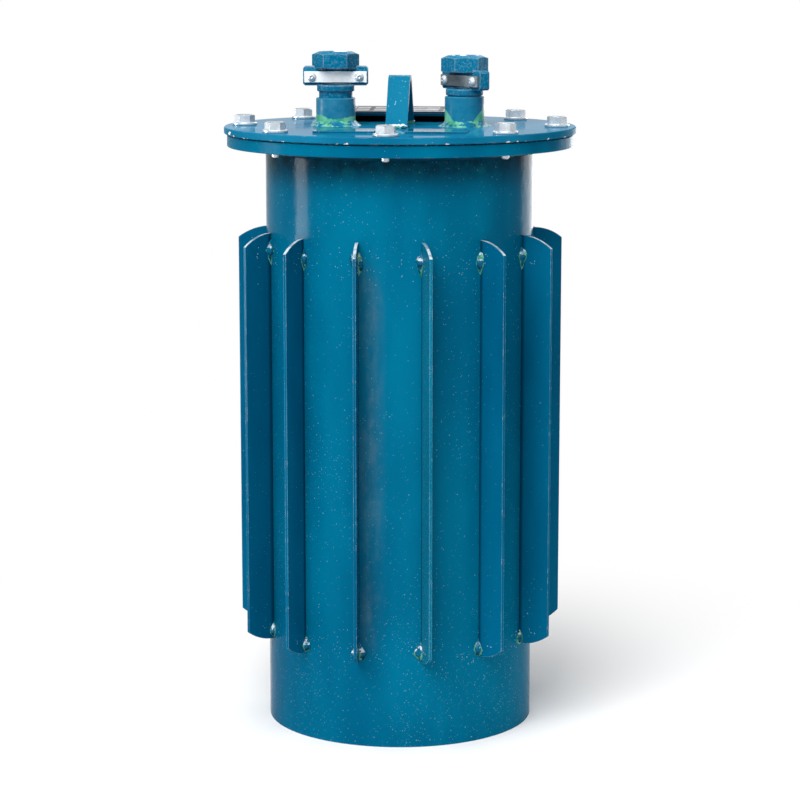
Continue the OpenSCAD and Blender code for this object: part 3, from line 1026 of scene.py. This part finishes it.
def addTackWelds():
    look = tackLook
    draw = random.Random(look["seed"])
    tacks = bmesh.new()
    for name in ("toe", "tip"):
        weldLayer(tacks, name)
    spatter = bmesh.new()
    for nodeName in finNames:
        low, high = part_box(nodeName)
        places = ((high.z - look["belowTop"], "upper"), (low.z + look["aboveBottom"], "lower"))
        lowest, highest = low.z + look["finEnd"], high.z - look["finEnd"]
        centre, lower, upper, out = finRoot(nodeName)
        for offset, way in ((lower, -1), (upper, 1)):
            angle = centre + offset
            along = Vector((-math.sin(angle), math.cos(angle))) * way
            for place, form in places:
                height = place + draw.uniform(-look["wander"], look["wander"]) * mm
                corner = onTank(angle, height)
                size = draw.uniform(*look["sizes"])
                shift = Vector([draw.uniform(*noiseRange) for axis in range(3)])
                tackBlob(tacks, corner, along, out, size, shift, look[form])
                for grain in range(look["grains"]):
                    radius = draw.uniform(*look["grainRadius"])
                    turn = way * draw.uniform(*look["grainAside"]) * mm / tankRadius + angle
                    level = height + draw.gauss(*look["grainRise"]) * mm
                    spot = onTank(turn, level)
                    if draw.random() < look["onFin"]:
                        spot = corner + (out * draw.uniform(*look["grainOut"]) * mm).to_3d()
                        spot.z = min(max(level, lowest), highest)
                    bmesh.ops.create_icosphere(spatter, subdivisions=1, radius=radius,
                                               matrix=Matrix.Translation(spot))
    addPiece(tacks, "fin_tack_welds", "weldEnamel")
    addPiece(spatter, "weld_spatter", "spatterEnamel")


addTackWelds()
print("fin welds and spatter added")


beadLook = {
    # hollow is 1 for a round bead, 2 for a flat one and more for a hollow one
    "gland": {"leg": 6.4 * mm, "rise": 5.2 * mm, "hollow": 2.3, "lump": 1.7 * mm,
              "ripple": 0.3 * mm, "pitch": 5 * mm, "steps": 120},
    "flange": {"leg": 6.0 * mm, "rise": 6.0 * mm, "hollow": 1.3, "lump": 0.8 * mm,
               "ripple": 0.4 * mm, "pitch": 6 * mm, "steps": 360},
    "sunk": 0.4 * mm,  # how far it reaches into the tube and the plate
    "arcStep": 15,  # degrees
    "lumpScale": 100, "lumpShift": 30,
    "toeScale": 90, "swayScale": 60,
    "sway": 2,  # how far the ripples wander, in radians
    "toe": (0.55, 0.5, 2.2),  # mean and spread of the thin paint, and how fast it ends up the bead
}


def beadOutline(form, radius):
    leg, rise, hollow = form["leg"], form["rise"], form["hollow"]
    inner, sunk = radius - beadLook["sunk"], -beadLook["sunk"]
    outline = [(inner, rise), (inner, sunk), (radius + leg, sunk)]
    for degrees in range(0, 90, beadLook["arcStep"]):
        step = math.radians(degrees)
        outline.append((radius + leg * math.cos(step) ** hollow, rise * math.sin(step) ** hollow))
    return outline + [(radius, rise), (inner, rise)]


def addBead(name, form, radius, centre, up, replaced, finish):
    # a rippled fillet round a tube, on a plate at the centre's height; up is 1 above it, -1 below it
    look = beadLook
    bm = bmesh.new()
    toe = weldLayer(bm, "toe")
    mean, vary, ending = look["toe"]
    turnProfile(bm, beadOutline(form, radius), form["steps"], Matrix.Identity(4))
    bmesh.ops.remove_doubles(bm, verts=bm.verts, dist=weldDist)
    for vert in bm.verts:
        flat = vert.co.xy
        angle = math.atan2(flat.y, flat.x)
        outwards = max(0.0, flat.length - radius) / form["leg"]
        risen = max(0.0, vert.co.z) / form["rise"]
        lump = noise.noise(vert.co * look["lumpScale"] + Vector(centre) * look["lumpShift"]) * form["lump"]
        sway = look["sway"] * noise.noise(vert.co * look["swayScale"])
        ripple = math.sin(angle * radius * math.tau / form["pitch"] + sway) * form["ripple"]
        push = (lump + ripple) * max(outwards, risen)
        vert.co.xy = flat + flat.normalized() * push * outwards
        vert.co.z += push * risen
        uneven = mean + vary * noise.noise(vert.co * look["toeScale"])
        vert[toe] = max(0.0, 1.0 - ending * outwards * risen) * uneven
    placed = Matrix.Translation(centre) @ Matrix.Scale(up, 4, (0, 0, 1))
    bmesh.ops.transform(bm, matrix=placed, verts=bm.verts)
    piece = addPiece(bm, name, finish)
    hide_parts(replaced)


for side, way in (("left", -1), ("right", 1)):
    foot = (way * glandX, 0.0, topZ)
    addBead("gland_bead_" + side, beadLook["gland"], glandRadius, foot, 1, "gland_weld_" + side, "ringWeld")
underFlange = (0.0, 0.0, flangeLow.z)
addBead("flange_bead", beadLook["flange"], tankRadius, underFlange, -1, "flange_weld", "shadedWeld")
print("weld beads added")


footLook = {
    "lumps": 7,
    "radius": (2.2 * mm, 3.4 * mm),
    "stray": (6.5 * mm, -5.5 * mm, 3.6 * mm),  # across, from the front foot, and its radius
    "segments": (14, 10),
    "swell": 0.25, "swellScale": 320,
    "thin": (0.62, 0.3),  # how thin the paint is at half height, and how much less at the top
    "lift": 0.3,  # of its radius
    "seed": 5,
}


def addFootWelds():
    # runs of weld across the handle's feet, and one large drop beside the front foot
    look = footLook
    draw = random.Random(look["seed"])
    low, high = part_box("lifting_handle")
    bm = bmesh.new()
    toe = weldLayer(bm, "toe")
    most, less = look["thin"]
    spots = []
    for foot in (low.y, high.y):
        for index in range(look["lumps"]):
            across = low.x + (high.x - low.x) * (index + 0.5) / look["lumps"]
            spots.append((across, foot, draw.uniform(*look["radius"])))
    across, ahead, radius = look["stray"]
    spots.append((across, low.y + ahead, radius))
    for across, depth, radius in spots:
        lump = addBall(bm, look["segments"], radius)
        shift = Vector((draw.uniform(*noiseRange), draw.uniform(*noiseRange), 0))
        place = Vector((across, depth, topZ + look["lift"] * radius))
        for vert in lump:
            swell = 1 + look["swell"] * noise.noise(vert.co * look["swellScale"] + shift)
            vert[toe] = most - vert.co.z / radius * less
            vert.co = vert.co * swell + place
    addPiece(bm, "handle_welds", "weldEnamel")


pinLook = {"radius": 1.8 * mm, "angle": -156, "below": 4 * mm, "segments": (16, 10)}


def addRimPin():
    # small rivet head on the cover's rim
    look = pinLook
    angle = math.radians(look["angle"])
    spot = Vector((coverHigh.x * math.cos(angle), coverHigh.x * math.sin(angle), topZ - look["below"]))
    bm = bmesh.new()
    addBall(bm, look["segments"], look["radius"], spot)
    addPiece(bm, "rim_pin", "washerZinc")


addFootWelds()
addRimPin()
print("handle welds and rim pin added")


# studio

studioLook = {
    "white": (1.0, 1.0, 1.0, 1.0),
    "floorColour": (0.92, 0.92, 0.92, 1.0),
    "floorRoughness": 0.9,
    "floorSize": 8.0,
    "floorFade": (0.25, 0.75),  # from the floor's own shade to plain white, in metres from the tank
    "fill": 0.32,  # world light on diffuse surfaces
    "lamps": [
        # name, place, aim, width, height, power, lights diffuse surfaces
        ("keyLamp", (-0.8, -2.5, 2.6), (0.0, 0.0, 0.4), 2.0, 2.0, 100, True),
        ("skyLamp", (-0.1, -0.7, 2.9), (0.0, 0.0, 0.5), 1.8, 1.6, 45, True),
        ("backLamp", (0.5, 2.6, 2.2), (0.0, 0.0, 0.4), 1.6, 1.6, 30, True),
        ("leftStrip", (-2.1, -0.18, 0.34), (0.0, 0.0, 0.34), 0.5, 0.64, 50, False),
        ("rightStrip", (1.25, 2.17, 0.34), (0.0, 0.0, 0.34), 1.7, 0.64, 17, False),
    ],
}


def whiteRays(tree):
    # rays that show the surroundings as plain white: seen, mirrored or through glass
    rays = wire(tree, "ShaderNodeLightPath").outputs
    either = calc(tree, "ADD", rays["Is Camera Ray"], rays["Is Glossy Ray"], clamp=True)
    return calc(tree, "ADD", either, rays["Is Transmission Ray"], clamp=True)


def addFloor():
    look = studioLook
    bm = bmesh.new()
    bmesh.ops.create_grid(bm, x_segments=1, y_segments=1, size=look["floorSize"])
    mesh = meshFrom(bm, "studioFloor")
    material, tree, shader, coords = newMaterial("paleFloor")
    plug(tree, shader, {"Base Color": look["floorColour"], "Roughness": look["floorRoughness"],
                        "Specular IOR Level": 0.0})
    away = vectors(tree, "LENGTH", coords)
    whiter = times(tree, whiteRays(tree), fade(tree, away, *look["floorFade"]))
    white = wire(tree, "ShaderNodeEmission", {"Color": look["white"], "Strength": 1.0})
    mixed = wire(tree, "ShaderNodeMixShader", {0: whiter, 1: shader.outputs[0], 2: white.outputs[0]})
    plug(tree, tree.nodes["Material Output"], {"Surface": mixed.outputs[0]})
    mesh.materials.append(material)
    floor = addObject("studioFloor", mesh)


def addWorld():
    world = bpy.data.worlds.new("studioWorld")
    bpy.context.scene.world = world
    world.use_nodes = True
    tree = world.node_tree
    strength = calc(tree, "MAXIMUM", whiteRays(tree), studioLook["fill"])
    plug(tree, tree.nodes["Background"], {"Color": studioLook["white"], "Strength": strength})


def addLamps():
    for name, place, aim, width, height, power, diffuse in studioLook["lamps"]:
        light = bpy.data.lights.new(name, "AREA")
        light.shape = "RECTANGLE"
        light.size = width
        light.size_y = height
        light.energy = power
        lamp = addObject(name, light)
        lamp.location = place
        lamp.visible_diffuse = diffuse
        lamp.visible_camera = False
        lamp.rotation_euler = (Vector(aim) - Vector(place)).to_track_quat("-Z", "Y").to_euler()


cameraLook = {
    "azimuth": 5.0, "pitch": 9.78,  # degrees
    "distance": 2.62, "height": 0.7818,  # metres
    "sensor": 36.0, "focalPixels": 2571.0, "imagePixels": 800.0,
}


def addCamera():
    look = cameraLook
    data = bpy.data.cameras.new("photoCamera")
    data.sensor_width = look["sensor"]
    data.lens = look["sensor"] * look["focalPixels"] / look["imagePixels"]
    camera = addObject("photoCamera", data)
    azimuth = math.radians(look["azimuth"])
    away = look["distance"]
    camera.location = (away * math.sin(azimuth), -away * math.cos(azimuth), look["height"])
    camera.rotation_euler = (math.radians(90 - look["pitch"]), 0.0, azimuth)
    bpy.context.scene.camera = camera


addFloor()
addWorld()
addLamps()
addCamera()
bpy.context.scene.view_settings.view_transform = "Standard"
print("studio set")
